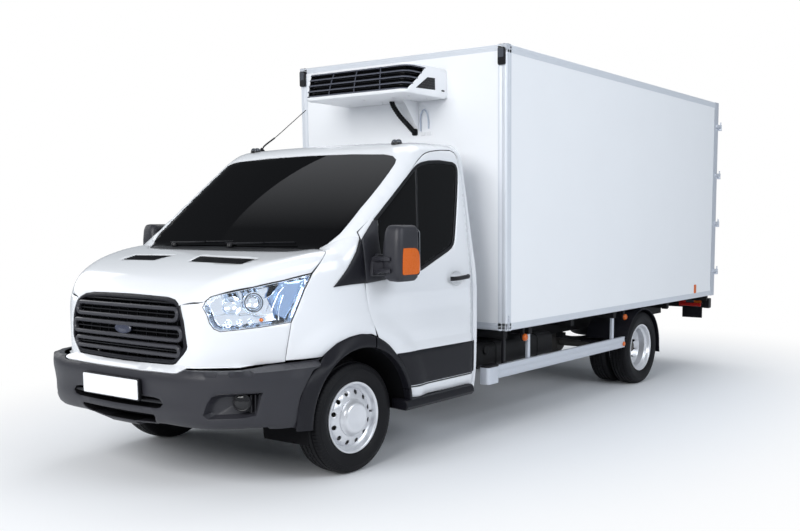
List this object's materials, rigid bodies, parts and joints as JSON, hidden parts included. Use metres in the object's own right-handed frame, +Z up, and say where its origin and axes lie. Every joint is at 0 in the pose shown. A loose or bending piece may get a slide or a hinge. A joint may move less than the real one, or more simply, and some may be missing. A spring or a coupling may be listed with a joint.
{
  "type": "refrigerated truck",
  "caption": "Light refrigerated box truck: short-bonnet cab, insulated body with a front-mounted cooling unit, twin rear wheels, opening doors.",
  "frame": {"origin": "on the ground, on the centre plane, under the middle of the overall length", "axes": "+X to the truck's left, +Y to its rear, +Z up"},
  "size_m": [2.4818, 6.796, 2.8199],
  "materials": {
    "body_white": "gloss white paint",
    "black_plastic": "fine-grained black moulding",
    "lamp_clear": "clear lens over bright reflectors",
    "lamp_amber": "amber and red lenses",
    "dark_glass": "dark tinted glass",
    "seat_fabric": "dark grey woven cloth",
    "cast_iron": "bare cast surface",
    "chassis_black": "satin black",
    "steel_wheel": "silver paint",
    "tyre_rubber": "black rubber",
    "exhaust_steel": "dull steel",
    "panel_white": "smooth white laminate",
    "edge_aluminium": "satin extruded aluminium",
    "black_rubber": "black moulded rubber"
  },
  "bodies": {
    "chassis": {"body_bearers": "chassis_black", "box_edge_trims": "edge_aluminium", "box_floor": "panel_white", "box_front_wall": "panel_white", "box_roof": "panel_white", "box_side_walls": "panel_white", "bumper": "black_plastic", "cab_mouldings": "black_plastic", "cab_shell": "body_white", "cooler_duct": "black_rubber", "cooler_grille": "black_plastic", "cooler_housing": "panel_white", "dashboard": "black_plastic", "engine": "cast_iron", "evaporator": "panel_white", "exhaust": "exhaust_steel", "frame_crossmembers": "chassis_black", "frame_rails": "chassis_black", "front_lamps": "lamp_clear", "front_panel": "body_white", "front_subframe": "chassis_black", "fuel_tank": "chassis_black", "grille": "black_plastic", "lamps": "lamp_amber", "leaf_springs": "chassis_black", "rear_axle": "cast_iron", "rear_bumper": "chassis_black", "rear_frame": "edge_aluminium", "rear_mudguards": "black_rubber", "seats": "seat_fabric", "side_guards": "edge_aluminium", "spare_wheel": "tyre_rubber", "windscreen": "dark_glass", "wings": "body_white"},
    "bonnet": {"bonnet": "body_white"},
    "door_left": {"door_left": "body_white", "door_glass_left": "dark_glass", "door_trim_left": "black_plastic"},
    "door_right": {"door_right": "body_white", "door_glass_right": "dark_glass", "door_trim_right": "black_plastic"},
    "rear_door_left": {"rear_door_left": "panel_white", "rear_gear_left": "edge_aluminium"},
    "rear_door_right": {"rear_door_right": "panel_white", "rear_gear_right": "edge_aluminium"},
    "knuckle_left": {"knuckle_left": "cast_iron"},
    "knuckle_right": {"knuckle_right": "cast_iron"},
    "wheel_front_left": {"rim_front_left": "steel_wheel", "tyre_front_left": "tyre_rubber"},
    "wheel_front_right": {"rim_front_right": "steel_wheel", "tyre_front_right": "tyre_rubber"},
    "wheels_rear_left": {"rims_rear_left": "steel_wheel", "tyres_rear_left": "tyre_rubber"},
    "wheels_rear_right": {"rims_rear_right": "steel_wheel", "tyres_rear_right": "tyre_rubber"}
  },
  "joints": [
    {"name": "steer_left", "type": "hinge", "parent": "chassis", "child": "knuckle_left", "pos_m": [0.772, -2.375, 0.346], "axis": [0, 0, 1], "range_deg": [-32, 32]},
    {"name": "steer_right", "type": "hinge", "parent": "chassis", "child": "knuckle_right", "pos_m": [-0.772, -2.375, 0.346], "axis": [0, 0, 1], "range_deg": [-32, 32]},
    {"name": "spin_front_left", "type": "hinge", "parent": "knuckle_left", "child": "wheel_front_left", "pos_m": [0.866, -2.375, 0.346], "axis": [1, 0, 0], "continuous": true},
    {"name": "spin_front_right", "type": "hinge", "parent": "knuckle_right", "child": "wheel_front_right", "pos_m": [-0.866, -2.375, 0.346], "axis": [1, 0, 0], "continuous": true},
    {"name": "spin_rear_left", "type": "hinge", "parent": "chassis", "child": "wheels_rear_left", "pos_m": [0.817, 1.579, 0.346], "axis": [1, 0, 0], "continuous": true},
    {"name": "spin_rear_right", "type": "hinge", "parent": "chassis", "child": "wheels_rear_right", "pos_m": [-0.817, 1.579, 0.346], "axis": [1, 0, 0], "continuous": true},
    {"name": "open_door_left", "type": "hinge", "parent": "chassis", "child": "door_left", "pos_m": [1.008, -2.367, 1], "axis": [0, 0, -1], "range_deg": [0, 68]},
    {"name": "open_door_right", "type": "hinge", "parent": "chassis", "child": "door_right", "pos_m": [-1.008, -2.367, 1], "axis": [0, 0, 1], "range_deg": [0, 68]},
    {"name": "open_bonnet", "type": "hinge", "parent": "chassis", "child": "bonnet", "pos_m": [0, -2.501, 1.37], "axis": [-1, 0, 0], "range_deg": [0, 55]},
    {"name": "open_rear_door_left", "type": "hinge", "parent": "chassis", "child": "rear_door_left", "pos_m": [1.06, 3.385, 1.7], "axis": [0, 0, -1], "range_deg": [0, 265]},
    {"name": "open_rear_door_right", "type": "hinge", "parent": "chassis", "child": "rear_door_right", "pos_m": [-1.06, 3.385, 1.7], "axis": [0, 0, 1], "range_deg": [0, 265]}
  ],
  "couplings": [
    {"joint": "steer_right", "follows": "steer_left", "ratio": 1}
  ]
}
